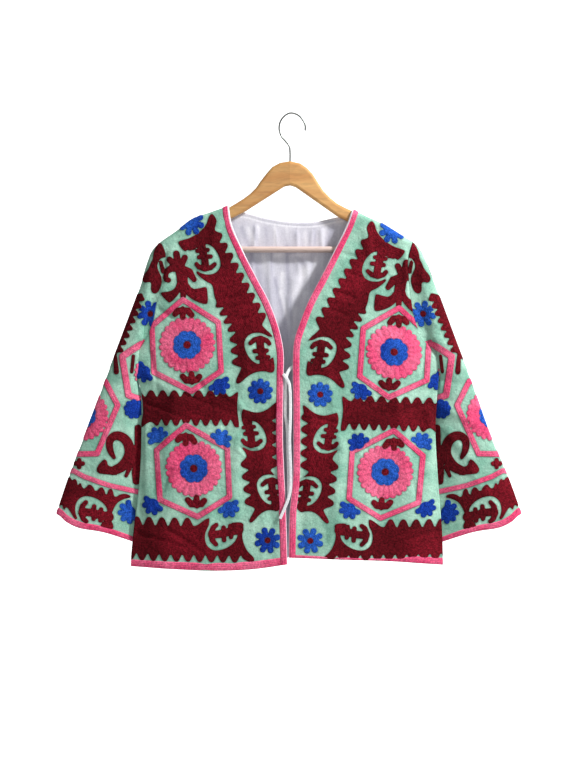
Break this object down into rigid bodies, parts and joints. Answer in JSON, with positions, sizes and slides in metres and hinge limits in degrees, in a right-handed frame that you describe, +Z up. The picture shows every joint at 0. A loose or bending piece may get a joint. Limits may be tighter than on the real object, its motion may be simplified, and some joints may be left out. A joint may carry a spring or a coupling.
{
  "type": "suzani embroidered jacket on a hanger",
  "caption": "Open-fronted cotton jacket with wide sleeves, suzani embroidery, a pink border and tape ties, hanging flat on a wooden hanger with a wire hook.",
  "frame": {"origin": "the inner top of the hanger's hook, where it bears on the peg that holds it", "axes": "+Z up, the jacket's front faces -Y, the wearer's left is at +X"},
  "size_m": [0.8388, 0.0622, 0.8223],
  "materials": {
    "embroidered_cotton": "mint cotton with chain stitch in maroon, pink and blue",
    "lining": "plain white cotton",
    "border": "pink chain-stitched band",
    "tape": "white woven tape",
    "hanger_wood": "satin varnish",
    "bar_wood": "pale turned wood",
    "hook_wire": "bright wire"
  },
  "bodies": {
    "root": {"back": "embroidered_cotton", "front_right": "embroidered_cotton", "front_left": "embroidered_cotton", "sleeve_right": "embroidered_cotton", "sleeve_left": "embroidered_cotton", "lining_back": "lining", "border_neck_back": "border", "border_front_right": "border", "border_front_left": "border", "hem_border_back": "border", "hem_border_right": "border", "hem_border_left": "border", "cuff_border_right": "border", "cuff_border_left": "border", "tie_right": "tape", "tie_left": "tape", "hanger_arms": "hanger_wood", "hanger_bar": "bar_wood", "hanger_hook": "hook_wire"}
  },
  "joints": []
}
